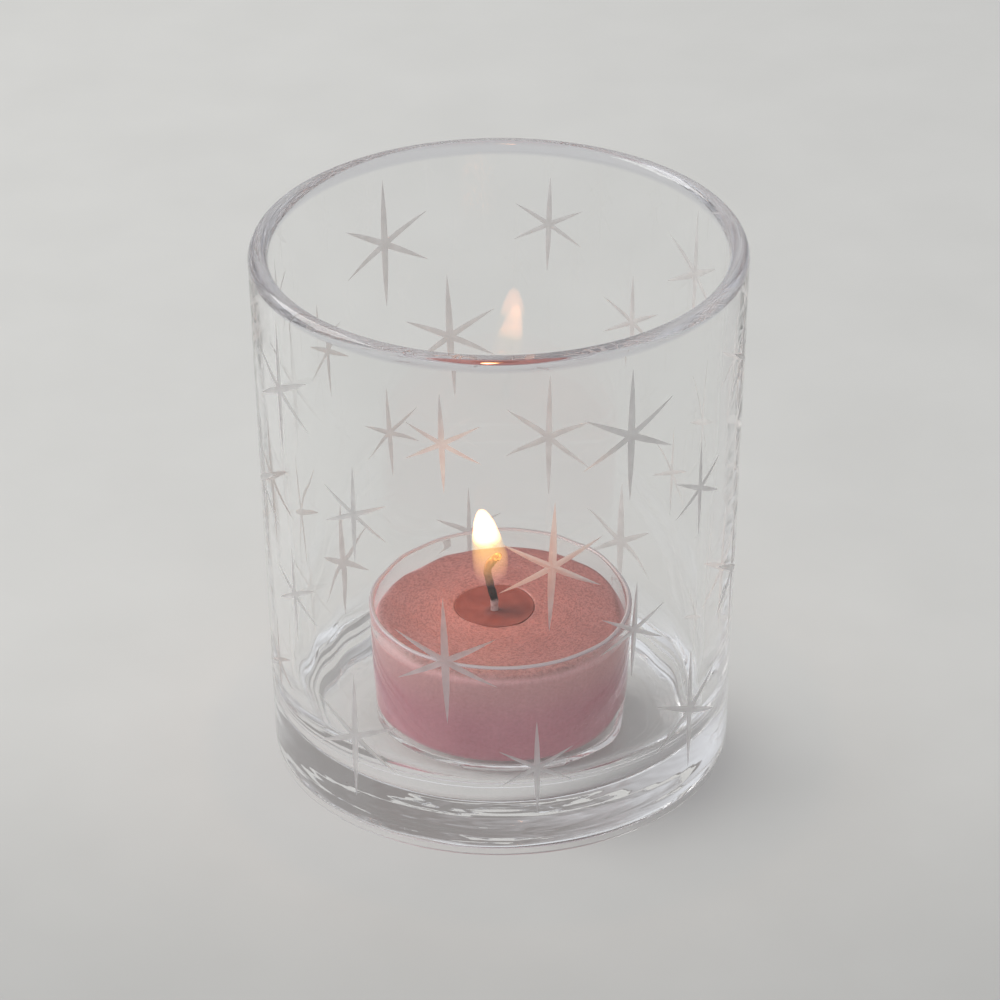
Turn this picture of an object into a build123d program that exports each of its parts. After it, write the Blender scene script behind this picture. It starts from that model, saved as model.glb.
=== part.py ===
from build123d import *
from math import cos, radians, sin
import os

# A clear glass tealight holder. A thick-walled tumbler, cut with large and small six-ray stars that
# alternate in four staggered rows, holds a tealight on its floor. The tealight is a clear plastic cup on arc-shaped feet. It
# holds a round block of wax, with the wick, the wick's metal sustainer and a pool of molten wax.
# Millimetres. The origin is the middle of the ring that the glass stands on, and +Z is up.
# Angles round the glass are measured from its front (-Y) towards +X.

# ---- glass tumbler ----
GLASS_HEIGHT = 82.0
RIM_RADIUS = 35.5
BASE_RADIUS = 33.8
RIM_WALL = 2.9
LIP_HEIGHT = 1.7
HEEL_RADIUS = 1.2
FLOOR_Z = 5.4
INSIDE_BASE_RADIUS = 30.0
INSIDE_CORNER_RADIUS = 9.5
PUNT_RADIUS = 31.2
PUNT_EDGE_Z = 0.8
PUNT_CENTRE_Z = 1.1
FOOT_RING_SLOPE = 0.45

# ---- stars cut in the outer wall ----
STARS_PER_RING = 4
SMALL_STAR = 0.75
STAR_RINGS = (  # size of the ring's stars, height of their middles, angle of the first one
    (1.0, 67.6, 30.2),
    (SMALL_STAR, 68.1, -13.2),
    (1.0, 49.1, 12.3),
    (SMALL_STAR, 54.4, 54.0),
    (1.0, 33.1, -13.1),
    (SMALL_STAR, 35.1, 32.4),
    (1.0, 17.3, 52.4),
    (SMALL_STAR, 16.0, 8.8),
)
STAR_HEIGHT = 21.0
STAR_UPRIGHT_WIDTH = 1.15
STAR_ARM_LENGTH = 16.6
STAR_ARM_WIDTH = 1.0
STAR_ARM_TILT = 29.0
STAR_DEPTH = 0.1
HAND_CUT_SHIFT = 0.6
HAND_CUT_TILT = 2.0
CUTTER_REACH = 3.0

# ---- tealight, which stands a little in front of the glass's middle ----
TEALIGHT_Y = -2.5
REST_GAP = 0.05
CUP_RADIUS = 19.5
CUP_BASE_RADIUS = 18.8
CUP_BODY_HEIGHT = 18.95
CUP_WALL = 0.8
CUP_FLOOR = 1.1
CUP_CORNER_RADIUS = 0.8
CUP_LIP_ROUND = 0.35
FOOT_COUNT = 3
FOOT_HEIGHT = 1.2
FOOT_RADIUS = 17.45
FOOT_WIDTH = 1.6
FOOT_ARC = 54.0
FIRST_FOOT_ANGLE = 7.0

# ---- wax and its molten pool ----
WAX_GAP = 0.05
WAX_HEIGHT = 15.7
WAX_TOP_ROUND = 1.4
WAX_BASE_ROUND = 0.8
POOL_RADIUS = 6.0
POOL_SLOPE = 0.5
POOL_HOLLOW = 0.9
POOL_DEPTH = 0.6
POOL_SHIFT = 1.3
BORE_GAP = 0.05

# ---- wick, which stands in a metal sustainer under the wax ----
WICK_X = -0.8
WICK_RADIUS = 0.62
WICK_STRAIGHT = 2.0
WICK_LEAN = 13.0
WICK_LEAN_RADIUS = 5.0
WICK_RISE = 3.6
WICK_HOOK = 55.0
WICK_HOOK_RADIUS = 2.6
WICK_TIP = 1.6
SUSTAINER_RADIUS = 6.5
SUSTAINER_THICKNESS = 0.3
NECK_RADIUS = 1.15
NECK_HEIGHT = 3.0

# ---- sizes that follow from the above ----
FOOT_Z = FLOOR_Z + REST_GAP
CUP_Z = FOOT_Z + FOOT_HEIGHT
CUP_RIM_Z = CUP_Z + CUP_BODY_HEIGHT
WAX_Z = CUP_Z + CUP_FLOOR + REST_GAP
WAX_TOP_Z = WAX_Z + WAX_HEIGHT
POOL_Z = WAX_TOP_Z - POOL_HOLLOW
CUP_SLOPE = (CUP_RADIUS - CUP_BASE_RADIUS) / (CUP_BODY_HEIGHT - CUP_FLOOR)
WAX_BASE_RADIUS = CUP_BASE_RADIUS - CUP_WALL - WAX_GAP
WAX_TOP_RADIUS = WAX_BASE_RADIUS + WAX_HEIGHT * CUP_SLOPE

# ---- where the tealight and its wick stand ----
TEALIGHT_SECTION = Plane.XZ.offset(-TEALIGHT_Y)
TEALIGHT_AXIS = Axis((0, TEALIGHT_Y, 0), (0, 0, 1))


def level(z, x=0.0, y=TEALIGHT_Y):
    """A horizontal sketch plane at height z, by default centred on the tealight."""
    return Plane(origin=(x, y, z))


def wall_radius(z):
    """Outer radius of the glass at height z."""
    return BASE_RADIUS + (RIM_RADIUS - BASE_RADIUS) * z / GLASS_HEIGHT


def corners_at_radius(section, radius):
    """The corners of an upright section that lie at the given radius."""
    return section.vertices().filter_by_position(Axis.X, radius, radius)


def spindle(length, width):
    """A wheel-cut stroke: widest in the middle and pointed at both ends."""
    with BuildSketch() as stroke:
        with BuildLine():
            ThreePointArc((-length / 2, 0), (0, width / 2), (length / 2, 0))
            ThreePointArc((length / 2, 0), (0, -width / 2), (-length / 2, 0))
        make_face()
    return stroke.sketch


def star_plane(ring, index):
    """The plane just inside the wall in which one star is drawn, with its own hand-cut error."""
    _, height, first_angle = STAR_RINGS[ring]
    wobble = 2.4 * index + 1.7 * ring
    z = height + HAND_CUT_SHIFT * sin(wobble)
    angle = radians(first_angle + index * 360 / STARS_PER_RING + HAND_CUT_SHIFT * cos(3 * wobble))
    radius = wall_radius(z) - CUTTER_REACH / 2
    plane = Plane(
        origin=(radius * sin(angle), -radius * cos(angle), z),
        x_dir=(cos(angle), sin(angle), 0),
        z_dir=(sin(angle), -cos(angle), 0),
    )
    return plane.rotated((0, 0, HAND_CUT_TILT * sin(1.3 * wobble)))


# ---- stars: shallow cuts that follow the curve of the wall ----
with BuildPart() as star_cuts:
    for ring, (size, _, _) in enumerate(STAR_RINGS):
        upright = spindle(size * STAR_HEIGHT, size * STAR_UPRIGHT_WIDTH)
        arm = spindle(size * STAR_ARM_LENGTH, size * STAR_ARM_WIDTH)
        for index in range(STARS_PER_RING):
            with BuildSketch(star_plane(ring, index)):
                add(upright, rotation=90)
                add(arm, rotation=STAR_ARM_TILT)
                add(arm, rotation=-STAR_ARM_TILT)
            extrude(amount=CUTTER_REACH)
    with BuildSketch(Plane.XZ):
        with BuildLine():
            Polyline(
                (BASE_RADIUS - STAR_DEPTH, 0),
                (BASE_RADIUS + CUTTER_REACH, 0),
                (RIM_RADIUS + CUTTER_REACH, GLASS_HEIGHT),
                (RIM_RADIUS - STAR_DEPTH, GLASS_HEIGHT),
                close=True,
            )
        make_face()
    revolve(axis=Axis.Z, mode=Mode.INTERSECT)

# ---- glass tumbler: conical wall, round lip, deep inside corner, hollow underside ----
lip_z = GLASS_HEIGHT - LIP_HEIGHT
lip_radius = RIM_WALL / 2
with BuildPart() as glass_body:
    with BuildSketch(Plane.XZ) as glass_section:
        with BuildLine():
            Polyline(
                (RIM_RADIUS - RIM_WALL, lip_z),
                (INSIDE_BASE_RADIUS, FLOOR_Z),
                (0, FLOOR_Z),
                (0, PUNT_CENTRE_Z),
                (PUNT_RADIUS, PUNT_EDGE_Z),
                (PUNT_RADIUS + FOOT_RING_SLOPE, 0),
                (BASE_RADIUS, 0),
                (RIM_RADIUS, lip_z),
            )
            EllipticalCenterArc((RIM_RADIUS - lip_radius, lip_z), lip_radius, LIP_HEIGHT, arc_size=180)
        make_face()
        fillet(corners_at_radius(glass_section, BASE_RADIUS), HEEL_RADIUS)
        fillet(corners_at_radius(glass_section, INSIDE_BASE_RADIUS), INSIDE_CORNER_RADIUS)
    revolve(axis=Axis.Z)
    add(star_cuts.part, mode=Mode.SUBTRACT)
glass_body.part.label = "glass_body"

# ---- tealight cup: thin clear plastic, round lip, three arc-shaped feet ----
with BuildPart() as tealight_cup:
    with BuildSketch(TEALIGHT_SECTION) as cup_section:
        with BuildLine():
            Polyline(
                (0, CUP_Z),
                (CUP_BASE_RADIUS, CUP_Z),
                (CUP_RADIUS, CUP_RIM_Z),
                (CUP_RADIUS - CUP_WALL, CUP_RIM_Z),
                (CUP_BASE_RADIUS - CUP_WALL, CUP_Z + CUP_FLOOR),
                (0, CUP_Z + CUP_FLOOR),
                close=True,
            )
        make_face()
        fillet(cup_section.vertices().group_by(Axis.Y)[-1], CUP_LIP_ROUND)
        fillet(corners_at_radius(cup_section, CUP_BASE_RADIUS), CUP_CORNER_RADIUS)
    revolve(axis=TEALIGHT_AXIS)
    for index in range(FOOT_COUNT):
        start = FIRST_FOOT_ANGLE - 90 - FOOT_ARC / 2 + index * 360 / FOOT_COUNT
        foot_line = CenterArc((0, 0), FOOT_RADIUS, start, FOOT_ARC, mode=Mode.PRIVATE)
        with BuildSketch(level(FOOT_Z)):
            SlotArc(foot_line, FOOT_WIDTH)
        extrude(amount=FOOT_HEIGHT + CUP_FLOOR / 2)
tealight_cup.part.label = "tealight_cup"

# ---- wick sustainer: a thin metal disc with a neck that grips the wick ----
with BuildPart() as wick_sustainer:
    with BuildSketch(level(WAX_Z, WICK_X)):
        Circle(SUSTAINER_RADIUS)
    extrude(amount=SUSTAINER_THICKNESS)
    with BuildSketch(level(WAX_Z, WICK_X)):
        Circle(NECK_RADIUS)
    extrude(amount=NECK_HEIGHT)
    with BuildSketch(level(WAX_Z, WICK_X)):
        Circle(WICK_RADIUS + BORE_GAP)
    extrude(amount=NECK_HEIGHT, mode=Mode.SUBTRACT)
wick_sustainer.part.label = "wick_sustainer"

# ---- wick: straight through the wax, then leaning left and hooking over to the right ----
with BuildPart() as wick:
    with BuildLine(TEALIGHT_SECTION) as wick_line:
        stem = Line((WICK_X, WAX_Z), (WICK_X, POOL_Z + WICK_STRAIGHT))
        lean = JernArc(stem @ 1, stem % 1, WICK_LEAN_RADIUS, WICK_LEAN)
        rise = PolarLine(lean @ 1, WICK_RISE, direction=lean % 1)
        hook = JernArc(rise @ 1, rise % 1, WICK_HOOK_RADIUS, -WICK_HOOK)
        PolarLine(hook @ 1, WICK_TIP, direction=hook % 1)
    with BuildSketch(level(WAX_Z, WICK_X)):
        Circle(WICK_RADIUS)
    sweep()
wick.part.label = "wick"

# ---- wax: a round block with softened edges, hollowed for the pool, sustainer and wick ----
with BuildPart() as wax:
    with BuildSketch(TEALIGHT_SECTION) as wax_section:
        with BuildLine():
            Polyline(
                (0, WAX_Z),
                (WAX_BASE_RADIUS, WAX_Z),
                (WAX_TOP_RADIUS, WAX_TOP_Z),
                (0, WAX_TOP_Z),
                close=True,
            )
        make_face()
        fillet(corners_at_radius(wax_section, WAX_TOP_RADIUS), WAX_TOP_ROUND)
        fillet(corners_at_radius(wax_section, WAX_BASE_RADIUS), WAX_BASE_ROUND)
    revolve(axis=TEALIGHT_AXIS)
    with BuildSketch(level(POOL_Z, WICK_X, TEALIGHT_Y + POOL_SHIFT)):
        Circle(POOL_RADIUS - POOL_SLOPE)
    with BuildSketch(level(WAX_TOP_Z, WICK_X, TEALIGHT_Y + POOL_SHIFT)):
        Circle(POOL_RADIUS)
    loft(mode=Mode.SUBTRACT)
    with BuildSketch(level(WAX_Z, WICK_X)):
        Circle(SUSTAINER_RADIUS + BORE_GAP)
    extrude(amount=SUSTAINER_THICKNESS + BORE_GAP, mode=Mode.SUBTRACT)
    with BuildSketch(level(WAX_Z, WICK_X)):
        Circle(NECK_RADIUS + BORE_GAP)
    extrude(amount=NECK_HEIGHT + BORE_GAP, mode=Mode.SUBTRACT)
    with BuildSketch(level(WAX_Z, WICK_X)):
        Circle(WICK_RADIUS + BORE_GAP)
    extrude(amount=WAX_HEIGHT, mode=Mode.SUBTRACT)
wax.part.label = "wax"

# ---- pool of molten wax, lying in the wax's hollow around the wick ----
pool_rise = POOL_SLOPE * POOL_DEPTH / POOL_HOLLOW
with BuildPart() as melt_pool:
    with BuildSketch(level(POOL_Z + BORE_GAP, WICK_X, TEALIGHT_Y + POOL_SHIFT)):
        Circle(POOL_RADIUS - POOL_SLOPE - BORE_GAP)
    with BuildSketch(level(POOL_Z + POOL_DEPTH, WICK_X, TEALIGHT_Y + POOL_SHIFT)):
        Circle(POOL_RADIUS - POOL_SLOPE - BORE_GAP + pool_rise)
    loft()
    with BuildSketch(level(POOL_Z, WICK_X)):
        Circle(WICK_RADIUS + BORE_GAP)
    extrude(amount=POOL_HOLLOW, mode=Mode.SUBTRACT)
melt_pool.part.label = "melt_pool"

# ---- one STEP file per piece ----
os.makedirs("parts", exist_ok=True)
export_step(glass_body.part, "parts/glass_body.step")
export_step(tealight_cup.part, "parts/tealight_cup.step")
export_step(wick_sustainer.part, "parts/wick_sustainer.step")
export_step(wick.part, "parts/wick.step")
export_step(wax.part, "parts/wax.step")
export_step(melt_pool.part, "parts/melt_pool.step")
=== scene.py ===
import math

import bpy
import numpy as np
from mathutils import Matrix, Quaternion, Vector
from mathutils.geometry import delaunay_2d_cdt


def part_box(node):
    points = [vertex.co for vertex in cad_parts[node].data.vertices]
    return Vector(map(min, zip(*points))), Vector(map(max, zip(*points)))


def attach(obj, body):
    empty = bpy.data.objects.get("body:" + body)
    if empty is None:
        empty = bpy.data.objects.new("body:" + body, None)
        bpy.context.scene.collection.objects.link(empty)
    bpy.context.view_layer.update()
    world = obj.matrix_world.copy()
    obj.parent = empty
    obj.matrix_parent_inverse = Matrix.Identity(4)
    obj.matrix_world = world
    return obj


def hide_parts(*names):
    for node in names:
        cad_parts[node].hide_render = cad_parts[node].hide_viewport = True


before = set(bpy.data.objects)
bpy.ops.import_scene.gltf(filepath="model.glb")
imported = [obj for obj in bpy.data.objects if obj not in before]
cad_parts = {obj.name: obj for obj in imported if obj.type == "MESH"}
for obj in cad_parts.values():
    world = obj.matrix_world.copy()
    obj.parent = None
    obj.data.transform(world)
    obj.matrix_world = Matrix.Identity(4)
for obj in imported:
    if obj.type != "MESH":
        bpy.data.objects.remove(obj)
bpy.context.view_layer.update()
scene = bpy.context.scene

# Shapes are worked out in millimetres, about the same axes as the CAD, and made in metres.
MM = 0.001


def box_mm(node):
    """Lowest and highest corner of a CAD node, in millimetres."""
    low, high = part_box(node)
    return np.array(low) / MM, np.array(high) / MM


glass_low, glass_high = box_mm("glass_body")
cup_low, cup_high = box_mm("tealight_cup")
wax_low, wax_high = box_mm("wax")
pool_low, pool_high = box_mm("melt_pool")
wick_low, _ = box_mm("wick")
tin_low, tin_high = box_mm("wick_sustainer")

# ---- glass ----
RIM_RADIUS = min(*-glass_low[:2], *glass_high[:2])
BASE_RADIUS = RIM_RADIUS - 1.7
RIM_WALL = 2.9
LIP_HEIGHT = 1.7
LIP_Z = glass_high[2] - LIP_HEIGHT
HEEL_RADIUS = 1.2
HEEL_TOP_Z = 3.0  # a height up the wall that gives the heel's rounding its direction
CUP_GAP = 0.05
FLOOR_Z = cup_low[2] - CUP_GAP
INSIDE_BASE_RADIUS = 30.0
INSIDE_CORNER_RADIUS = 9.5
PUNT_RADIUS = 31.2
PUNT_EDGE_Z = 0.8
PUNT_CENTRE_Z = 1.1
RING_INNER_RADIUS = 31.65
MIDDLE_RING = 0.4  # radius of the smallest ring round the middle of the foot and the floor
WALL_SEGMENTS = 240
WALL_GRID = 0.95  # side of the wall's triangles
WALL_ROW = 0.87  # height of a row of triangles, as a share of their side
WALL_SLOPE = (RIM_RADIUS - BASE_RADIUS) / LIP_Z
WALL_MEAN = (RIM_RADIUS + BASE_RADIUS) / 2

# ---- stars ----
STARS_PER_RING = 4
SMALL_STAR = 0.75
STAR_RINGS = (  # size of the ring's stars, height of their middles, angle of the first one
    (1.0, 67.6, 30.2),
    (SMALL_STAR, 68.1, -13.2),
    (1.0, 49.1, 12.3),
    (SMALL_STAR, 54.4, 54.0),
    (1.0, 33.1, -13.1),
    (SMALL_STAR, 35.1, 32.4),
    (1.0, 17.3, 52.4),
    (SMALL_STAR, 16.0, 8.8),
)
STAR_STROKES = ((21.0, 1.15, 90.0), (16.6, 1.0, 29.0), (16.6, 1.0, -29.0))  # length, width, tilt
STROKE_STEP = 1.1  # twice the length of the steps along a stroke's outline
STROKE_CLEARANCE = 0.8  # how near the wall's grid comes to a stroke, in half widths
OUT_OF_REACH = 1000.0  # stands for any distance round to the other side of the glass
STAR_DEPTH = 0.05
HAND_CUT_SHIFT = 0.6
HAND_CUT_TILT = 2.0

# ---- tealight ----
CUP_CENTRE = (cup_low[:2] + cup_high[:2]) / 2
CUP_RADIUS = (cup_high[0] - cup_low[0]) / 2
CUP_NARROWING = 0.7  # how much smaller the cup's radius is at its base
CUP_BASE_RADIUS = CUP_RADIUS - CUP_NARROWING
FOOT_HEIGHT = 1.2
CUP_Z = cup_low[2] + FOOT_HEIGHT
CUP_WALL = 0.8
CUP_FLOOR = 1.1
CUP_CORNER = 0.8
CUP_LIP_CORNER = 0.38
CUP_SEGMENTS = 192
UNEVEN_OVER = 19.0  # the cup's unevenness grows over this height
FEET = 3
FIRST_FOOT = 7.0  # angle of its middle
FLAT_RADIUS = 16.4  # of the underside inside the feet
FOOT_HALF_ARC = 27.5
FOOT_END_ARC = 2.2  # the arc over which a foot's end fades out
FOOT_SECTION = (  # radius, and how far it is pressed down
    (16.55, 0.0),
    (16.62, 0.55),
    (16.75, 0.95),
    (17.0, FOOT_HEIGHT),
    (17.9, FOOT_HEIGHT),
    (18.15, 0.95),
    (18.28, 0.55),
    (18.36, 0.0),
)
CLOSED_END = 0.3  # radius of the smallest ring where a shape closes
WAX_CENTRE = (wax_low[:2] + wax_high[:2]) / 2
WAX_HEIGHT = wax_high[2] - wax_low[2]
WAX_NARROWING = CUP_NARROWING * WAX_HEIGHT / (cup_high[2] - CUP_Z - CUP_FLOOR)
WAX_INTO_CUP = 0.14
WAX_LIFT = 0.5  # how far its lower face is above the CAD's
WAX_CORE = 12.0  # radius at which the lower face, the side and the hollow's section meet
WAX_SEGMENTS = 160
RECENTRE_FROM = 6.6  # the rings' centres pass over to the wax's own from this radius
RECENTRE_OVER = 5.0  # and over this distance
TIN_RECESS_RADIUS = 6.55
TIN_RECESS_DEPTH = 0.35
EDGE_BAND = 1.3  # height of the uneven band at the wax's top
POOL_CENTRE = (pool_low[:2] + pool_high[:2]) / 2
POOL_RADIUS = 6.0
POOL_SEGMENTS = 96
POOL_CURL = 0.35  # height and reach of the wax that creeps up the wick
WICK_CENTRE = (tin_low[:2] + tin_high[:2]) / 2
WICK_RADIUS = 0.62
WICK_STRAIGHT = 2.0
WICK_LEAN = 13.0
WICK_LEAN_RADIUS = 5.0
WICK_RISE = 3.6
WICK_HOOK = 55.0
WICK_HOOK_RADIUS = 2.6
WICK_TIP = 1.6
WICK_STEP = 0.12
WICK_SEGMENTS = 32

# ---- flame ----
FLAME_OUTLINE = (  # height, half width and sideways place of its middle
    (27.4, 0.0, -1.5),
    (28.3, 1.7, -1.5),
    (29.5, 2.35, -1.5),
    (30.9, 2.58, -1.53),
    (32.6, 2.6, -1.63),
    (35.1, 2.2, -2.04),
    (37.9, 1.55, -2.41),
    (39.2, 1.02, -2.58),
    (39.85, 0.6, -2.65),
    (40.2, 0.0, -2.68),
)
FLAME_SHELLS = (1.0, 0.96, 0.9, 0.82, 0.72, 0.58, 0.4)  # each one's width as a share of the outline's
FLAME_MIDDLE_Z = 32.0
FLAME_SHORTENING = 0.55  # how much of a shell's narrowing its height shares
FLAME_RINGS = 42
FLAME_SEGMENTS = 40
CANDLELIGHT = (-2.2, CUP_CENTRE[1], 37.0)  # place of the small lamp in the flame


# ---------------------------------------------------------------- shapes
def wall_radius(z):
    """Radius of the glass's outer wall at a height."""
    return BASE_RADIUS + WALL_SLOPE * z


def arc_points(centre, radii, start, end, steps):
    """Points on an elliptic arc, angles in degrees."""
    angles = np.radians(np.linspace(start, end, steps + 1))
    return [(centre[0] + radii[0] * math.cos(a), centre[1] + radii[1] * math.sin(a)) for a in angles]


def rounded(corners, steps=8):
    """A section line [(r, z, radius), ...] with its corners rounded."""
    points = []
    for i, (r, z, radius) in enumerate(corners):
        here = np.array((r, z), float)
        if not radius or i in (0, len(corners) - 1):
            points.append(here)
            continue
        back = np.array(corners[i - 1][:2], float) - here
        ahead = np.array(corners[i + 1][:2], float) - here
        back /= np.linalg.norm(back)
        ahead /= np.linalg.norm(ahead)
        half = math.acos(np.clip(back @ ahead, -1, 1)) / 2
        middle = (back + ahead) / np.linalg.norm(back + ahead)
        centre = here + middle * radius / math.sin(half)
        a = here + back * radius / math.tan(half) - centre
        b = here + ahead * radius / math.tan(half) - centre
        sweep = math.atan2(a[0] * b[1] - a[1] * b[0], a @ b)
        for k in range(steps + 1):
            cosine, sine = math.cos(sweep * k / steps), math.sin(sweep * k / steps)
            points.append(centre + (a[0] * cosine - a[1] * sine, a[0] * sine + a[1] * cosine))
    return points


def spread(points, longest):
    """The same line with points added so that no step is longer than this."""
    out = [np.array(points[0], float)]
    for p in points[1:]:
        last = out[-1]
        p = np.array(p, float)
        count = max(1, math.ceil(np.linalg.norm(p - last) / longest))
        out.extend(last + (p - last) * k / count for k in range(1, count + 1))
    return np.array(out)


def round_angles(count):
    """Even angles once round, from the front towards the right."""
    return np.arange(count) * 2 * math.pi / count


def turned(section, count, centres):
    """Rings of a section line [(r, z), ...] round the vertical line through each centre."""
    angles = round_angles(count)
    centres = np.broadcast_to(np.asarray(centres, float), (len(section), 2))
    r, z = np.asarray(section, float)[:, :2].T
    x = centres[:, 0, None] + r[:, None] * np.sin(angles)
    y = centres[:, 1, None] - r[:, None] * np.cos(angles)
    return np.stack([x, y, np.broadcast_to(z[:, None], x.shape)], axis=-1)


def ring_normals(rings):
    """Unit normals of the smooth skin over these rings."""
    steps = np.linalg.norm(np.diff(rings, axis=0), axis=2).mean(axis=1)
    along = np.gradient(rings, np.concatenate([[0], np.cumsum(steps)]), axis=0, edge_order=2)
    around = np.roll(rings, -1, axis=1) - np.roll(rings, 1, axis=1)
    normals = np.cross(around, along)
    return normals / np.linalg.norm(normals, axis=2, keepdims=True)


def skin(rings, first_tip=None, last_tip=None):
    """Points and faces over rings of equal length, closed to a point at either end where one is given."""
    rows, count = rings.shape[:2]
    points = rings.reshape(-1, 3)
    faces = []
    for k in range(rows - 1):
        for i in range(count):
            j = (i + 1) % count
            faces.append((k * count + i, k * count + j, (k + 1) * count + j, (k + 1) * count + i))
    if first_tip is not None:
        points = np.vstack([points, first_tip])
        faces += [(len(points) - 1, (i + 1) % count, i) for i in range(count)]
    if last_tip is not None:
        points = np.vstack([points, last_tip])
        last = (rows - 1) * count
        faces += [(last + i, last + (i + 1) % count, len(points) - 1) for i in range(count)]
    return points, faces


def piece(name, points, faces, materials, body, stands_for=None):
    """A mesh piece that rides on a CAD body."""
    mesh = bpy.data.meshes.new(name)
    mesh.from_pydata((np.asarray(points) * MM).tolist(), [], faces)
    mesh.shade_smooth()
    for material in materials:
        mesh.materials.append(material)
    made = bpy.data.objects.new(name, mesh)
    scene.collection.objects.link(made)
    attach(made, body)
    if stands_for:
        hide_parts(stands_for)
    return made


# ---------------------------------------------------------------- materials
def set_stops(node, stops):
    """Give a colour ramp these stops, each a position and a colour."""
    elements = node.color_ramp.elements
    while len(elements) < len(stops):
        elements.new(0.5)
    for element, (position, colour) in zip(elements, stops):
        element.position = position
        element.color = (*colour, 1)


class Material:
    """A Principled material and short ways to add nodes to it."""

    def __init__(self, name, **values):
        self.material = bpy.data.materials.new(name)
        self.material.use_nodes = True
        self.nodes = self.material.node_tree.nodes
        self.links = self.material.node_tree.links
        self.shader = self.nodes["Principled BSDF"]
        for key, value in values.items():
            self.shader.inputs[key.replace("_", " ")].default_value = value
        self.object_coords = self.nodes.new("ShaderNodeTexCoord").outputs["Object"]

    def link(self, source, target):
        self.links.new(source, self.shader.inputs[target] if isinstance(target, str) else target)

    def noise(self, scale, detail=3.0, roughness=0.5, vector=None):
        node = self.nodes.new("ShaderNodeTexNoise")
        node.inputs["Scale"].default_value = scale
        node.inputs["Detail"].default_value = detail
        node.inputs["Roughness"].default_value = roughness
        self.links.new(vector or self.object_coords, node.inputs["Vector"])
        return node.outputs["Fac"]

    def spread(self, value, low, high, new_low, new_high, smooth=True):
        """The value's range from low to high made into new_low to new_high, and level past its ends."""
        node = self.nodes.new("ShaderNodeMapRange")
        node.interpolation_type = "SMOOTHSTEP" if smooth else "LINEAR"
        self.links.new(value, node.inputs["Value"])
        for key, number in (("From Min", low), ("From Max", high), ("To Min", new_low), ("To Max", new_high)):
            node.inputs[key].default_value = number
        return node.outputs["Result"]

    def ramp(self, value, *stops):
        node = self.nodes.new("ShaderNodeValToRGB")
        self.links.new(value, node.inputs["Fac"])
        set_stops(node, stops)
        return node.outputs["Color"]

    def mix(self, factor, a, b):
        node = self.nodes.new("ShaderNodeMix")
        node.data_type = "RGBA"
        self.links.new(factor, node.inputs["Factor"])
        for value, socket in ((a, node.inputs["A"]), (b, node.inputs["B"])):
            socket = next(s for s in node.inputs if s.name == socket.name and s.type == "RGBA")
            if isinstance(value, tuple):
                socket.default_value = (*value, 1)
            else:
                self.links.new(value, socket)
        return next(s for s in node.outputs if s.type == "RGBA")

    def multiply(self, a, b):
        """Two colours multiplied."""
        node = self.nodes.new("ShaderNodeVectorMath")
        node.operation = "MULTIPLY"
        self.links.new(a, node.inputs[0])
        self.links.new(b, node.inputs[1])
        return node.outputs["Vector"]

    def sum(self, a, b, operation="ADD"):
        """Two values added, or joined by another operation."""
        node = self.nodes.new("ShaderNodeMath")
        node.operation = operation
        self.links.new(a, node.inputs[0])
        if isinstance(b, (int, float)):
            node.inputs[1].default_value = b
        else:
            self.links.new(b, node.inputs[1])
        return node.outputs[0]

    def place(self, axis):
        """Place along an axis in millimetres."""
        node = self.nodes.new("ShaderNodeSeparateXYZ")
        self.links.new(self.object_coords, node.inputs[0])
        return self.sum(node.outputs[axis], 1 / MM, "MULTIPLY")

    def height(self):
        return self.place("Z")

    def round_coords(self, centre, stretch):
        """Coordinates for a grain drawn out round a vertical line, this many times along x and y."""
        from_centre = self.nodes.new("ShaderNodeVectorMath")
        from_centre.operation = "SUBTRACT"
        self.links.new(self.object_coords, from_centre.inputs[0])
        from_centre.inputs[1].default_value = (centre[0] * MM, centre[1] * MM, 0)
        parts = self.nodes.new("ShaderNodeSeparateXYZ")
        self.links.new(from_centre.outputs["Vector"], parts.inputs[0])
        squares = [self.sum(parts.outputs[axis], parts.outputs[axis], "MULTIPLY") for axis in ("X", "Y")]
        radius = self.sum(self.sum(*squares), 0.5, "POWER")
        joined = self.nodes.new("ShaderNodeCombineXYZ")
        for axis in ("X", "Y"):
            self.links.new(self.sum(parts.outputs[axis], 1 / stretch, "MULTIPLY"), joined.inputs[axis])
        self.links.new(self.sum(radius, parts.outputs["Z"]), joined.inputs["Z"])
        return joined.outputs["Vector"]

    def distance_mm(self, point):
        node = self.nodes.new("ShaderNodeVectorMath")
        node.operation = "DISTANCE"
        self.links.new(self.object_coords, node.inputs[0])
        node.inputs[1].default_value = tuple(np.array(point) * MM)
        return self.sum(node.outputs["Value"], 1 / MM, "MULTIPLY")

    def bump(self, height, strength, distance):
        node = self.nodes.new("ShaderNodeBump")
        node.inputs["Strength"].default_value = strength
        node.inputs["Distance"].default_value = distance
        self.links.new(height, node.inputs["Height"])
        self.links.new(node.outputs["Normal"], self.shader.inputs["Normal"])


glass = Material("clear_glass", Transmission_Weight=1.0, IOR=1.5)
glass.link(glass.spread(glass.noise(70, 4), 0.58, 0.8, 0.0, 0.03), "Roughness")
clear = glass.ramp(glass.noise(25, 2), (0.3, (0.985, 0.988, 0.985)), (0.7, (0.997, 0.998, 0.998)))
# Painted shade: the lip's glass is tinted a darker lavender grey, standing in for the dim, bluish
# surroundings seen through it.
painted_lip_shade = glass.spread(glass.height(), LIP_Z - 0.4, LIP_Z + 0.3, 0, 1)
glass.link(glass.mix(painted_lip_shade, clear, (0.74, 0.745, 0.80)), "Base Color")
low_down = glass.spread(glass.height(), 4.5, 7.5, 1.0, 0.02)
streaks = glass.noise(170, 2, 0.5, glass.round_coords((0, 0), 6))
glass.bump(glass.sum(streaks, low_down, "MULTIPLY"), 0.36, 0.0005)
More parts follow.
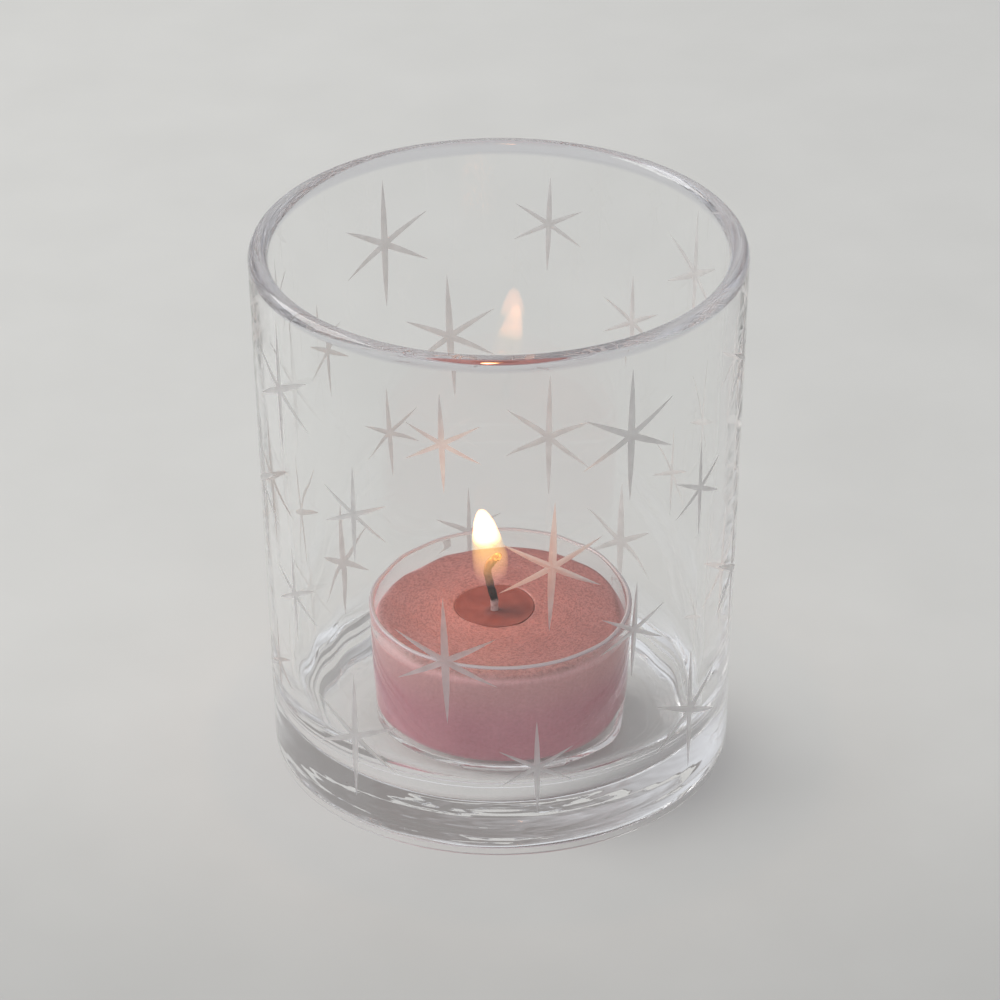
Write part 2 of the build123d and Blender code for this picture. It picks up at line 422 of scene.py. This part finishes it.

# The stars nearest to this spot on the front wall get a painted orange glow, so that they look lit by the
# flame.
PAINTED_GLOW_SPOT = (-1, -wall_radius(58), 58)
frost = Material("cut_glass", Transmission_Weight=0.55, IOR=1.5)
frost.link(frost.spread(frost.noise(900, 2), 0.3, 0.7, 0.28, 0.4), "Roughness")
patches = frost.noise(400, 3)
frost.link(frost.ramp(patches, (0.3, (0.64, 0.62, 0.61)), (0.7, (0.78, 0.76, 0.75))), "Base Color")
frost.bump(frost.noise(2600, 2), 0.3, 0.00004)
painted_candle_glow = frost.spread(frost.distance_mm(PAINTED_GLOW_SPOT), 10, 21, 0.2, 0)
frost.link(painted_candle_glow, "Emission Strength")
frost.link(frost.ramp(patches, (0.3, (1.0, 0.30, 0.08)), (0.7, (1.0, 0.42, 0.14))), "Emission Color")

clear_cup = Material("clear_cup", IOR=1.49)
# A band at the top of the cup's rim is less clear, rougher and tinted grey-mauve.
rim_band = clear_cup.spread(clear_cup.height(), cup_high[2] - 0.45, cup_high[2] - 0.1, 0.0, 1.0)
clear_cup.link(clear_cup.spread(rim_band, 0, 1, 1.0, 0.45), "Transmission Weight")
haze = clear_cup.spread(clear_cup.noise(120, 3), 0.5, 0.8, 0.0, 0.05)
clear_cup.link(clear_cup.sum(haze, clear_cup.sum(rim_band, 0.3, "MULTIPLY")), "Roughness")
clear = clear_cup.ramp(clear_cup.noise(60, 2), (0.3, (0.97, 0.965, 0.96)), (0.7, (0.99, 0.985, 0.985)))
clear_cup.link(clear_cup.mix(rim_band, clear, (0.58, 0.555, 0.57)), "Base Color")
clear_cup.bump(clear_cup.noise(160, 2), 0.1, 0.0002)

wax = Material(
    "rose_wax", IOR=1.45, Subsurface_Weight=0.2, Subsurface_Scale=0.0015, Subsurface_Radius=(1.0, 0.4, 0.3)
)
cloud = wax.noise(80, 4, 0.6)
# Painted light and shade: the top and the side get separately tinted copies of the wax's colour, the top's
# darker and warmer to suit how each is lit, and the upper side pales to a warmer pink, a painted glow of the
# flame.
on_top = wax.ramp(cloud, (0.3, (0.27, 0.110, 0.103)), (0.7, (0.335, 0.147, 0.138)))
painted_side_tone = wax.ramp(cloud, (0.3, (0.44, 0.165, 0.20)), (0.7, (0.53, 0.225, 0.26)))
painted_top_mask = wax.spread(wax.height(), wax_high[2] - 0.8, wax_high[2] - 0.25, 0, 1)
painted_glow_band = wax.spread(wax.height(), wax_high[2] - 9, wax_high[2] - 1, 0, 1)
colour = wax.mix(painted_top_mask, wax.mix(painted_glow_band, painted_side_tone, (0.56, 0.28, 0.28)), on_top)
swirl = wax.noise(2800, 2, 0.7, wax.round_coords(WAX_CENTRE, 1.4))
swirl_strength = wax.spread(wax.height(), wax_high[2] - 0.5, wax_high[2] - 0.2, 0.2, 1)
swirl = wax.sum(wax.sum(swirl, -0.5), swirl_strength, "MULTIPLY")
pearl = wax.ramp(wax.sum(swirl, 0.5), (0.38, (0.75, 0.69, 0.67)), (0.62, (1.28, 1.34, 1.34)))
wax.link(wax.multiply(colour, pearl), "Base Color")
wax.link(wax.spread(swirl, 0.05, 0.16, 0.45, 0.22), "Roughness")
wax.bump(swirl, 0.3, 0.0001)

pool = Material("molten_wax", IOR=1.42)
tones = pool.ramp(pool.noise(350, 3), (0.3, (0.15, 0.034, 0.027)), (0.7, (0.23, 0.065, 0.05)))
pool.link(tones, "Base Color")
pool.link(pool.spread(pool.noise(200, 2), 0.3, 0.7, 0.06, 0.14), "Roughness")
pool.bump(pool.noise(350, 2), 0.2, 0.0003)

tin = Material("tin_plate", Metallic=1.0)
tin.link(tin.ramp(tin.noise(500, 3), (0.3, (0.62, 0.61, 0.60)), (0.7, (0.78, 0.77, 0.76))), "Base Color")
tin.link(tin.spread(tin.noise(300, 4), 0.3, 0.7, 0.22, 0.38), "Roughness")
tin.bump(tin.noise(900, 3), 0.2, 0.00005)


# ---------------------------------------------------------------- glass tumbler
def star_places():
    """Size, height, angle and tilt of each star, with its own hand-cut error."""
    places = []
    for ring, (size, height, first) in enumerate(STAR_RINGS):
        for index in range(STARS_PER_RING):
            wobble = 2.4 * index + 1.7 * ring
            sideways = HAND_CUT_SHIFT * math.cos(3 * wobble)
            angle = math.radians(first + index * 360 / STARS_PER_RING + sideways)
            tilt = math.radians(HAND_CUT_TILT * math.sin(1.3 * wobble))
            places.append((size, height + HAND_CUT_SHIFT * math.sin(wobble), angle, tilt))
    return places


def stroke_half_width(u, length, width):
    """Half width of a spindle-shaped stroke at a distance u along it, and less than 0 past its ends."""
    half = width / 2
    radius = (length**2 / 4 + half**2) / (2 * half)
    return np.sqrt(np.maximum(radius**2 - u**2, 0)) - (radius - half)


def cut_margin(angle, z):
    """How far inside the nearest star stroke each point is, as a share of the stroke's half width."""
    deepest = np.full(len(z), -np.inf)
    for size, height, middle, tilt in star_places():
        across = wall_radius(z) * np.sin(angle - middle)
        across = np.where(np.cos(angle - middle) > 0, across, OUT_OF_REACH)
        for full_length, full_width, turn in STAR_STROKES:
            length, width = size * full_length, size * full_width
            a = math.radians(turn) + tilt
            u = across * math.cos(a) + (z - height) * math.sin(a)
            v = -across * math.sin(a) + (z - height) * math.cos(a)
            inside = stroke_half_width(u, length, width) - np.abs(v)
            inside = np.where(np.abs(u) < length / 2 + 0.5, inside, -np.inf)
            deepest = np.maximum(deepest, inside / (width / 2))
    return deepest


def star_lines():
    """Outlines and middle lines of every stroke, as lists of (angle, z)."""
    lines = []
    for size, height, middle, tilt in star_places():
        for full_length, full_width, turn in STAR_STROKES:
            length, width = size * full_length, size * full_width
            a = math.radians(turn) + tilt
            u = np.linspace(-length / 2, length / 2, 2 * round(length / STROKE_STEP) + 1)
            half = np.maximum(stroke_half_width(u, length, width), 0)
            for side in (-1, 0, 1):
                v = side * half
                across = u * math.cos(a) - v * math.sin(a)
                z = height + u * math.sin(a) + v * math.cos(a)
                angle = middle + np.arcsin(across / wall_radius(z))
                lines.append(np.stack([angle, z], axis=1))
    return lines


def cut_wall(bottom_z, top_z):
    """Angle and z of the outer wall's points, its triangles and which of them are cut. The first two
    rows of WALL_SEGMENTS points are its bottom and top edges.

    The wall is opened out on a ring-shaped map that keeps angles true, so it has no seam."""
    angles = round_angles(WALL_SEGMENTS)
    ends = [np.stack([angles, np.full(WALL_SEGMENTS, z)], axis=1) for z in (bottom_z, top_z)]
    rows = round((top_z - bottom_z) / (WALL_GRID * WALL_ROW))
    half_step = math.pi / WALL_SEGMENTS
    grid = []
    for k in range(1, rows):
        z = bottom_z + (top_z - bottom_z) * k / rows
        grid.append(np.stack([angles + half_step * (k % 2), np.full(WALL_SEGMENTS, z)], axis=1))
    grid = np.vstack(grid)
    grid = grid[cut_margin(grid[:, 0], grid[:, 1]) < -STROKE_CLEARANCE]
    points = [*ends, grid]
    edges = []
    for row_start in (0, WALL_SEGMENTS):
        edges += [(row_start + i, row_start + (i + 1) % WALL_SEGMENTS) for i in range(WALL_SEGMENTS)]
    start = sum(len(p) for p in points)
    for line in star_lines():
        points.append(line)
        edges += [(start + i, start + i + 1) for i in range(len(line) - 1)]
        start += len(line)
    flat = np.vstack(points)
    size = np.exp(flat[:, 1] / WALL_MEAN)
    plan = [Vector((s * math.cos(a), s * math.sin(a))) for s, a in zip(size, flat[:, 0])]
    found, _, faces, origin, _, _ = delaunay_2d_cdt(plan, edges, [], 0, 1e-6)
    found = np.array(found)
    angle = np.arctan2(found[:, 1], found[:, 0])
    z = WALL_MEAN * np.log(np.maximum(np.hypot(found[:, 0], found[:, 1]), 1e-6))
    place = {}
    for new, olds in enumerate(origin):
        for old in olds:
            if old < 2 * WALL_SEGMENTS:
                place[old] = new
    first = [place[i] for i in range(2 * WALL_SEGMENTS)]
    order = first + sorted(set(range(len(found))) - set(first))
    new_index = np.empty(len(found), int)
    new_index[order] = np.arange(len(found))
    angle, z = angle[order], z[order]
    angle[: 2 * WALL_SEGMENTS] = np.tile(angles, 2)
    z[: 2 * WALL_SEGMENTS] = np.repeat((bottom_z, top_z), WALL_SEGMENTS)
    faces = new_index[np.array([f[::-1] for f in faces])]
    middle = found[np.array(order)][faces].mean(axis=1)
    kept = np.hypot(middle[:, 0], middle[:, 1]) > math.exp(bottom_z / WALL_MEAN) * math.cos(half_step)
    faces, middle = faces[kept], middle[kept]
    middle_angle = np.arctan2(middle[:, 1], middle[:, 0])
    middle_z = WALL_MEAN * np.log(np.hypot(middle[:, 0], middle[:, 1]))
    return angle, z, faces, cut_margin(middle_angle, middle_z) > 0


def pressed_ripple(rings):
    """Slight unevenness of the inside, most of it low down where the glass is thick."""
    angle = np.arctan2(rings[..., 0], -rings[..., 1])
    radius = np.hypot(rings[..., 0], rings[..., 1])
    z = rings[..., 2]
    low = np.exp(-(((z - 12) / 9) ** 2)) * np.clip((radius - 21) / 4, 0, 1)
    high = np.clip((LIP_Z - z) / 20, 0, 1) * np.clip((radius - 29) / 1, 0, 1)
    broad = 0.20 * np.sin(3 * angle + 0.9) + 0.16 * np.sin(5 * angle + 2.0)
    wave = low * (broad + 0.12 * np.sin(0.5 * z + 2 * angle))
    slight = 0.03 * np.sin(2 * angle + 0.4) + 0.025 * np.sin(0.22 * z + 3 * angle)
    wave += high * (slight + 0.006 * np.sin(34 * angle + 0.1 * z))
    out = rings.copy()
    out[..., 0] += wave * np.sin(angle)
    out[..., 1] -= wave * np.cos(angle)
    return out


def make_tumbler():
    """The glass, in one mesh: its foot, the wall with the stars, and the lip with the bowl inside."""
    foot = rounded(
        [
            (MIDDLE_RING, PUNT_CENTRE_Z, 0),
            (PUNT_RADIUS, PUNT_EDGE_Z, 0.3),
            (RING_INNER_RADIUS, 0, 0.2),
            (BASE_RADIUS, 0, HEEL_RADIUS),
            (wall_radius(HEEL_TOP_Z), HEEL_TOP_Z, 0),
        ]
    )[:-1]
    foot = turned(spread(foot, 2.0), WALL_SEGMENTS, (0, 0))
    bottom_z = foot[-1, 0, 2]
    lip = arc_points((RIM_RADIUS - RIM_WALL / 2, LIP_Z), (RIM_WALL / 2, LIP_HEIGHT), 0, 180, 30)
    inside = rounded(
        [
            (RIM_RADIUS - RIM_WALL, LIP_Z, 0),
            (INSIDE_BASE_RADIUS, FLOOR_Z, INSIDE_CORNER_RADIUS),
            (MIDDLE_RING, FLOOR_Z, 0),
        ],
        steps=24,
    )
    bowl = pressed_ripple(turned(spread(lip + inside[1:], 1.6), WALL_SEGMENTS, (0, 0)))

    angle, z, triangles, is_cut = cut_wall(bottom_z, LIP_Z)
    depth = STAR_DEPTH * np.clip(cut_margin(angle, z), 0, 1)
    depth[: 2 * WALL_SEGMENTS] = 0
    radius = wall_radius(z) - depth
    wall = np.stack([radius * np.sin(angle), -radius * np.cos(angle), z], axis=1)
    lean = math.hypot(1, WALL_SLOPE)
    out = np.stack([np.sin(angle) / lean, -np.cos(angle) / lean, np.full(len(z), -WALL_SLOPE / lean)], axis=1)

    points = [wall]
    faces = triangles.tolist()
    normals = []
    for triangle, cut in zip(triangles, is_cut):
        normals.extend(np.zeros((3, 3)) if cut else out[triangle])
    count = len(wall)
    # The foot's last row and the bowl's first are the wall's bottom and top edges, so they share points.
    for rings, shared_row, shared_start, tip in (
        (foot, len(foot) - 1, 0, (0, 0, PUNT_CENTRE_Z)),
        (bowl, 0, WALL_SEGMENTS, (0, 0, FLOOR_Z)),
    ):
        turns = ring_normals(rings).reshape(-1, 3)
        is_foot = shared_row > 0
        made, made_faces = skin(rings, tip if is_foot else None, None if is_foot else tip)
        turns = np.vstack([turns, (0, 0, -1 if is_foot else 1)])
        index = np.arange(len(made)) + count
        shared = shared_row * WALL_SEGMENTS
        index[shared : shared + WALL_SEGMENTS] = shared_start + np.arange(WALL_SEGMENTS)
        keep = np.ones(len(made), bool)
        keep[shared : shared + WALL_SEGMENTS] = False
        index[keep] = count + np.arange(keep.sum())
        points.append(made[keep])
        count += keep.sum()
        for face in made_faces:
            faces.append(index[list(face)].tolist())
            normals.extend(turns[list(face)])
    looks = [glass.material, frost.material]
    made = piece("glass_tumbler", np.vstack(points), faces, looks, "glass", "glass_body")
    mesh = made.data
    slots = np.zeros(len(mesh.polygons), np.int32)
    slots[: len(is_cut)] = is_cut
    mesh.polygons.foreach_set("material_index", slots)
    mesh.polygons.foreach_set("use_smooth", slots == 0)
    mesh.normals_split_custom_set(np.array(normals).tolist())
    return made


# ---------------------------------------------------------------- tealight
def pressed_feet(rings, drops, angles):
    """Press the first rings down by these drops, over the arcs of the feet."""
    arc = 2 * math.pi / FEET
    from_middle = np.abs((angles - math.radians(FIRST_FOOT) + arc / 2) % arc - arc / 2)
    foot = np.clip((math.radians(FOOT_HALF_ARC) - from_middle) / math.radians(FOOT_END_ARC), 0, 1)
    foot = foot * foot * (3 - 2 * foot)
    rings[: len(drops), :, 2] -= np.array(drops)[:, None] * foot


def make_cup():
    """Thin clear cup. Its underside is pressed down into three arc-shaped feet."""
    section = rounded(
        [
            (CLOSED_END, CUP_Z, 0),
            (CUP_BASE_RADIUS, CUP_Z, CUP_CORNER),
            (CUP_RADIUS - 0.06, cup_high[2], CUP_LIP_CORNER),
            (CUP_RADIUS - CUP_WALL, cup_high[2], CUP_LIP_CORNER),
            (CUP_BASE_RADIUS - CUP_WALL, CUP_Z + CUP_FLOOR, CUP_CORNER),
            (CLOSED_END, CUP_Z + CUP_FLOOR, 0),
        ]
    )
    corner_start = section[1][0]
    under = [(r, CUP_Z) for r in np.linspace(CLOSED_END, FLAT_RADIUS, 9)]
    feet = []
    for r, _ in FOOT_SECTION:
        past = max(r - corner_start, 0)
        feet.append((r, CUP_Z + CUP_CORNER - math.sqrt(CUP_CORNER**2 - past**2)))
    drops = [0.0] * len(under) + [drop for _, drop in FOOT_SECTION]
    rest = [p for p in section[1:] if p[0] > feet[-1][0] or p[1] > CUP_Z + 0.5]
    rest = [tuple(p) for p in spread(rest, 1.5)]
    rings = turned(under + feet + rest, CUP_SEGMENTS, CUP_CENTRE)
    angles = round_angles(CUP_SEGMENTS)
    pressed_feet(rings, drops, angles)
    higher = np.clip((rings[..., 2] - CUP_Z) / UNEVEN_OVER, 0, 1)
    wobble = higher * 0.03 * (np.sin(3 * angles + 0.7) + np.sin(7 * angles + 0.2) - 2)
    rings[..., 0] += wobble * np.sin(angles)
    rings[..., 1] -= wobble * np.cos(angles)
    rings[..., 2] += higher**4 * 0.05 * (np.sin(2 * angles + 1.0) - 1)
    points, faces = skin(rings, (*CUP_CENTRE, CUP_Z), (*CUP_CENTRE, CUP_Z + CUP_FLOOR))
    return piece("clear_cup", points, faces, [clear_cup.material], "tealight", "tealight_cup")


def between(a, b, t):
    """Points that pass smoothly from a, where t is 0, to b, where it is 1."""
    t = np.clip(t, 0, 1)
    t = (t * t * (3 - 2 * t))[..., None]
    return np.asarray(a) * (1 - t) + np.asarray(b) * t


def uneven_top(rings, top):
    """Make the wax's top edge irregular, with one dent in it, and its top face slightly wavy."""
    x, y, z = rings[..., 0], rings[..., 1], rings[..., 2]
    out = np.hypot(x - WAX_CENTRE[0], y - WAX_CENTRE[1])
    angle = np.arctan2(x - WAX_CENTRE[0], WAX_CENTRE[1] - y)
    on_top = np.clip((z - top + EDGE_BAND) / EDGE_BAND, 0, 1)
    shrinkage = 0.16 * np.sin(3 * angle + 1) + 0.1 * np.sin(7 * angle) - 0.26
    shift = np.clip((out - 13) / 4, 0, 1) * on_top * shrinkage
    from_dent = (angle + 2.35 + math.pi) % (2 * math.pi) - math.pi
    dent = 0.9 * np.exp(-((from_dent / 0.22) ** 2))
    shift -= dent * np.clip((out - 14) / 3.5, 0, 1) * on_top
    x += shift * np.sin(angle)
    y -= shift * np.cos(angle)
    waves = 0.07 * np.sin(0.55 * x + 0.3) * np.cos(0.5 * y) + 0.04 * np.sin(1.3 * x + 0.9 * y)
    z += on_top * (waves - 0.11)


def make_wax():
    """The wax block, with a recess below for the sustainer and a hollow above for the pool."""
    top = wax_high[2]
    bottom = wax_low[2] + WAX_LIFT
    recess = bottom + TIN_RECESS_DEPTH
    side = wax_high[0] - WAX_CENTRE[0] + WAX_INTO_CUP
    base = side - WAX_NARROWING
    under = [
        (CLOSED_END, recess, 0),
        (TIN_RECESS_RADIUS, recess, 0.08),
        (TIN_RECESS_RADIUS, bottom, 0.08),
        (WAX_CORE, bottom, 0),
    ]
    shell = [(WAX_CORE, bottom, 0), (base, bottom, 2.2), (side, top, 1.4), (WAX_CORE, top, 0)]
    hollow = [
        (WAX_CORE, top, 0),
        (POOL_RADIUS + 0.1, top, 0.5),
        (POOL_RADIUS - 0.5, pool_low[2], 0.3),
        (CLOSED_END, pool_low[2], 0),
    ]
    under = spread(rounded(under, 3), 1.2)
    shell = spread(rounded(shell), 1.0)[1:]
    hollow = spread(rounded(hollow, 5), 0.6)[1:]
    centres = np.vstack(
        [
            between(WICK_CENTRE, WAX_CENTRE, (under[:, 0] - RECENTRE_FROM) / RECENTRE_OVER),
            np.broadcast_to(WAX_CENTRE, (len(shell), 2)),
            between(POOL_CENTRE, WAX_CENTRE, (hollow[:, 0] - RECENTRE_FROM) / RECENTRE_OVER),
        ]
    )
    rings = turned(np.vstack([under, shell, hollow]), WAX_SEGMENTS, centres)
    uneven_top(rings, top)
    points, faces = skin(rings, (*WICK_CENTRE, recess), (*POOL_CENTRE, pool_low[2]))
    return piece("wax_block", points, faces, [wax.material], "candle", "wax")


def make_pool():
    """The molten pool, curling up a little where it wets the wax and the wick."""
    low = pool_low[2] + 0.02
    level = pool_high[2]
    edge = POOL_RADIUS - 0.06
    under = [(r, low) for r in np.linspace(CLOSED_END, edge - 0.35, 6)]
    under += [(edge - 0.1, low + 0.25), (edge, level + 0.1)]
    surface = [(edge - 0.12, level + 0.13), (edge - 0.35, level + 0.04), (edge - 0.8, level - 0.01)]
    surface += [(r, level - 0.02) for r in np.linspace(edge - 1.5, CLOSED_END, 14)]
    rings = turned(under + surface, POOL_SEGMENTS, POOL_CENTRE)
    from_wick = np.hypot(rings[..., 0] - WICK_CENTRE[0], rings[..., 1] - WICK_CENTRE[1])
    curl = POOL_CURL * np.exp(-np.maximum(from_wick - WICK_RADIUS, 0) / POOL_CURL)
    rings[len(under) :, :, 2] += curl[len(under) :]
    points, faces = skin(rings, (*POOL_CENTRE, low), (*POOL_CENTRE, level - 0.02))
    return piece("melted_pool", points, faces, [pool.material], "candle", "melt_pool")


def wick_line():
    """Points (x, z) and headings of the wick's middle line, from the wax's base to its tip."""
    x, z, heading = WICK_CENTRE[0], wick_low[2], 90.0
    places = [(x, z, heading)]
    stretches = (
        (pool_low[2] + WICK_STRAIGHT - z, 0),
        (math.radians(WICK_LEAN) * WICK_LEAN_RADIUS, WICK_LEAN),
        (WICK_RISE, 0),
        (math.radians(WICK_HOOK) * WICK_HOOK_RADIUS, -WICK_HOOK),
        (WICK_TIP, 0),
    )
    for length, turn in stretches:
        count = math.ceil(length / WICK_STEP)
        for _ in range(count):
            heading += turn / count / 2
            x += length / count * math.cos(math.radians(heading))
            z += length / count * math.sin(math.radians(heading))
            heading += turn / count / 2
            places.append((x, z, heading))
    return np.array(places)


def make_wick(material):
    """Braided cotton: two sets of strands that cross, drawn together and frayed at the burnt tip."""
    line = wick_line()
    angles = round_angles(WICK_SEGMENTS)
    rings = []
    for k, (x, z, heading) in enumerate(line):
        from_tip = (len(line) - 1 - k) * WICK_STEP
        braid = np.cos(3 * angles + 0.22 * k) * np.cos(3 * angles - 0.22 * k)
        radius = WICK_RADIUS * (0.93 + 0.07 * braid)
        burnt = np.clip((z - 26) / 3, 0, 1)
        radius = radius * (1 + burnt * 0.09 * np.sin(0.9 * k + 5 * angles + 2 * np.sin(0.37 * k)))
        radius = radius * min(1.0, 0.35 + math.sqrt(from_tip / 0.7) * 0.65)
        a = math.radians(heading)
        across = radius * np.sin(angles)
        y = CUP_CENTRE[1] - radius * np.cos(angles)
        rings.append(np.stack([x + across * math.sin(a), y, z - across * math.cos(a)], axis=1))
    rings = np.array(rings)
    x, z, heading = line[-1]
    ahead = WICK_STEP / 2
    a = math.radians(heading)
    tip = (x + ahead * math.cos(a), CUP_CENTRE[1], z + ahead * math.sin(a))
    points, faces = skin(rings, (WICK_CENTRE[0], CUP_CENTRE[1], wick_low[2]), tip)
    return piece("braided_wick", points, faces, [material], "candle", "wick")


def make_flame(material):
    """Nested thin shells, so that the flame's edge is soft."""
    heights, widths, sways = np.array(FLAME_OUTLINE).T
    angles = round_angles(FLAME_SEGMENTS)
    even = np.linspace(0, 1, FLAME_RINGS + 2)[1:-1]
    outline_z = heights[0] + (heights[-1] - heights[0]) * (1 - np.cos(math.pi * even)) / 2
    sway = np.interp(outline_z, heights, sways)
    points, faces = [], []
    for share in FLAME_SHELLS:
        height_share = 1 - FLAME_SHORTENING * (1 - share)
        width = np.interp(outline_z, heights, widths) * share
        z = FLAME_MIDDLE_Z + (outline_z - FLAME_MIDDLE_Z) * height_share
        low, high = FLAME_MIDDLE_Z + (heights[[0, -1]] - FLAME_MIDDLE_Z) * height_share
        x = sway[:, None] + width[:, None] * np.sin(angles)
        y = CUP_CENTRE[1] - width[:, None] * np.cos(angles)
        rings = np.stack([x, y, np.broadcast_to(z[:, None], x.shape)], axis=-1)
        made, made_faces = skin(rings, (sways[0], CUP_CENTRE[1], low), (sways[-1], CUP_CENTRE[1], high))
        start = sum(len(p) for p in points)
        points.append(made)
        faces += [tuple(start + i for i in face) for face in made_faces]
    return piece("flame", np.vstack(points), faces, [material], "candle")


tip_x, tip_z, _ = wick_line()[-1]
wick = Material("charred_cotton", Specular_IOR_Level=0.3)
SOAKED_TO = (24.9, 25.6)  # heights over which wax-soaked cotton turns to char
fibres = wick.noise(1500, 3)
char = wick.ramp(fibres, (0.3, (0.012, 0.009, 0.008)), (0.7, (0.05, 0.035, 0.028)))
brown = wick.ramp(fibres, (0.3, (0.10, 0.045, 0.022)), (0.7, (0.24, 0.12, 0.06)))
soaked = wick.ramp(fibres, (0.3, (0.42, 0.27, 0.25)), (0.7, (0.68, 0.52, 0.49)))
ragged = wick.sum(wick.height(), wick.spread(fibres, 0, 1, -0.5, 0.5))
upper = wick.mix(wick.spread(ragged, 27.6, 28.8, 0, 1), char, brown)
wick.link(wick.mix(wick.spread(ragged, *SOAKED_TO, 0, 1), soaked, upper), "Base Color")
wick.link(wick.spread(ragged, *SOAKED_TO, 0.3, 0.85), "Roughness")
ember = wick.spread(wick.distance_mm((tip_x - 0.2, CUP_CENTRE[1], tip_z - 0.1)), 0.5, 1.6, 1.0, 0.0)
wick.link(wick.ramp(fibres, (0.35, (1.0, 0.16, 0.02)), (0.65, (1.0, 0.42, 0.10))), "Emission Color")
ember = wick.sum(ember, wick.spread(fibres, 0.45, 0.6, 0.15, 1.0), "MULTIPLY")
wick.link(wick.sum(ember, 1.6, "MULTIPLY"), "Emission Strength")
wick.bump(fibres, 0.5, 0.0001)

flame = Material("flame", Specular_IOR_Level=0.0, Roughness=1.0, Base_Color=(0, 0, 0, 1))
licks = flame.sum(flame.height(), flame.spread(flame.noise(260, 2), 0, 1, -0.5, 0.5))
flame.link(
    flame.ramp(
        flame.spread(licks, 27.0, 37.0, 0, 1, False),
        (0.0, (0.45, 0.4, 0.8)),
        (0.2, (0.8, 0.45, 0.35)),
        (0.42, (1.0, 0.52, 0.22)),
        (0.78, (1.0, 0.62, 0.16)),
        (0.92, (1.0, 0.42, 0.2)),
    ),
    "Emission Color",
)
bright = flame.spread(licks, 34.8, 36.2, 0.0, 1.0)
flame.link(flame.spread(bright, 0, 1, 2.6, 13.0), "Emission Strength")
faint = flame.spread(licks, 27.6, 33.5, 0.004, 0.03)
flame.link(flame.sum(faint, flame.sum(bright, 0.045, "MULTIPLY")), "Alpha")

# ---------------------------------------------------------------- the pieces
for clear_piece in (make_tumbler(), make_cup()):
    clear_piece.visible_shadow = False
    clear_piece.visible_diffuse = False
make_wax()
make_pool()
make_wick(wick.material)
make_flame(flame.material).visible_shadow = False
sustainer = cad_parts["wick_sustainer"]
sustainer.data.materials.clear()
sustainer.data.materials.append(tin.material)

# ---------------------------------------------------------------- floor, light and camera
cloth = Material("floor_cloth", Roughness=0.9)
pale = cloth.ramp(cloth.noise(40, 4), (0.3, (0.600, 0.597, 0.585)), (0.7, (0.625, 0.622, 0.61)))
# Painted shade: the cloth darkens with distance from a spot behind the glass, and darkens towards the front.
far_off = cloth.spread(cloth.distance_mm((0, 120, 0)), 150, 420, 0, 1)
painted_front_shade = cloth.spread(cloth.place("Y"), -70, 30, 0.84, 1.0)
painted_distance_shade = cloth.ramp(far_off, (0.0, (1, 1, 0.98)), (1.0, (0.4, 0.4, 0.41)))
cloth.link(cloth.multiply(cloth.multiply(pale, painted_front_shade), painted_distance_shade), "Base Color")
FLOOR_DROP = 0.00005  # metres below the glass, so that the two don't share a plane
corners = [(x, y, -FLOOR_DROP) for x, y in ((-4, -4), (4, -4), (4, 6), (-4, 6))]
mesh = bpy.data.meshes.new("floor")
mesh.from_pydata(corners, [], [(0, 1, 2, 3)])
mesh.materials.append(cloth.material)
floor = bpy.data.objects.new("floor", mesh)
scene.collection.objects.link(floor)

# The studio is bright above, to the left of and in front of the glass, and dim low down behind it.
BRIGHT_SIDE = (-0.35, -0.5, 0.75)
SKY = ((0.0, (0.27, 0.255, 0.25)), (0.35, (0.56, 0.56, 0.58)), (0.65, (0.78, 0.8, 0.84)))
world = bpy.data.worlds.new("studio")
scene.world = world
world.use_nodes = True
nodes, links = world.node_tree.nodes, world.node_tree.links
facing = nodes.new("ShaderNodeVectorMath")
facing.operation = "DOT_PRODUCT"
facing.inputs[1].default_value = BRIGHT_SIDE
links.new(nodes.new("ShaderNodeTexCoord").outputs["Generated"], facing.inputs[0])
sky = nodes.new("ShaderNodeValToRGB")
links.new(facing.outputs["Value"], sky.inputs["Fac"])
set_stops(sky, SKY)
links.new(sky.outputs["Color"], nodes["Background"].inputs["Color"])


AIM_HEIGHT = 0.04  # metres, where the window light and the camera point


def soft_light(name, direction, distance, size, energy, colour):
    """A rectangular light in a direction from the glass, turned towards it."""
    data = bpy.data.lights.new(name, "AREA")
    data.shape = "RECTANGLE"
    data.size, data.size_y = size
    data.energy = energy
    data.color = colour
    made = bpy.data.objects.new(name, data)
    scene.collection.objects.link(made)
    target = Vector((0, 0, AIM_HEIGHT))
    made.location = target + Vector(direction).normalized() * distance
    made.rotation_euler = (target - made.location).to_track_quat("-Z", "Y").to_euler()
    return made


window = soft_light("window", (-0.72, 0.22, 0.66), 1.3, (0.9, 0.8), 10.5, (1.0, 0.99, 0.96))
window.visible_transmission = False

glow_data = bpy.data.lights.new("candlelight", "POINT")
glow_data.energy = 0.006
glow_data.color = (1.0, 0.5, 0.2)
glow_data.shadow_soft_size = 0.001
glow = bpy.data.objects.new("candlelight", glow_data)
scene.collection.objects.link(glow)
glow.location = Vector(CANDLELIGHT) * MM
glow.visible_camera = False
glow.visible_glossy = False
glow.visible_transmission = False
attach(glow, "candle")

CAMERA_LENS = 157.3
CAMERA_ELEVATION = 30.05
CAMERA_ROLL = -0.295
CAMERA_DISTANCE = 0.6375
camera_data = bpy.data.cameras.new("camera")
camera = bpy.data.objects.new("camera", camera_data)
scene.collection.objects.link(camera)
scene.camera = camera
camera_data.sensor_width = 36
camera_data.lens = CAMERA_LENS
camera_data.clip_start = 0.01
elevation = math.radians(CAMERA_ELEVATION)
forward = Vector((0, math.cos(elevation), -math.sin(elevation)))
camera.rotation_mode = "QUATERNION"
roll = Quaternion((0, 0, 1), math.radians(CAMERA_ROLL))
camera.rotation_quaternion = forward.to_track_quat("-Z", "Y") @ roll
camera.location = Vector((0, 0, AIM_HEIGHT)) - CAMERA_DISTANCE * forward

scene.cycles.max_bounces = 32
scene.cycles.glossy_bounces = 32
scene.cycles.transmission_bounces = 24
scene.cycles.transparent_max_bounces = 32
scene.view_settings.view_transform = "Standard"
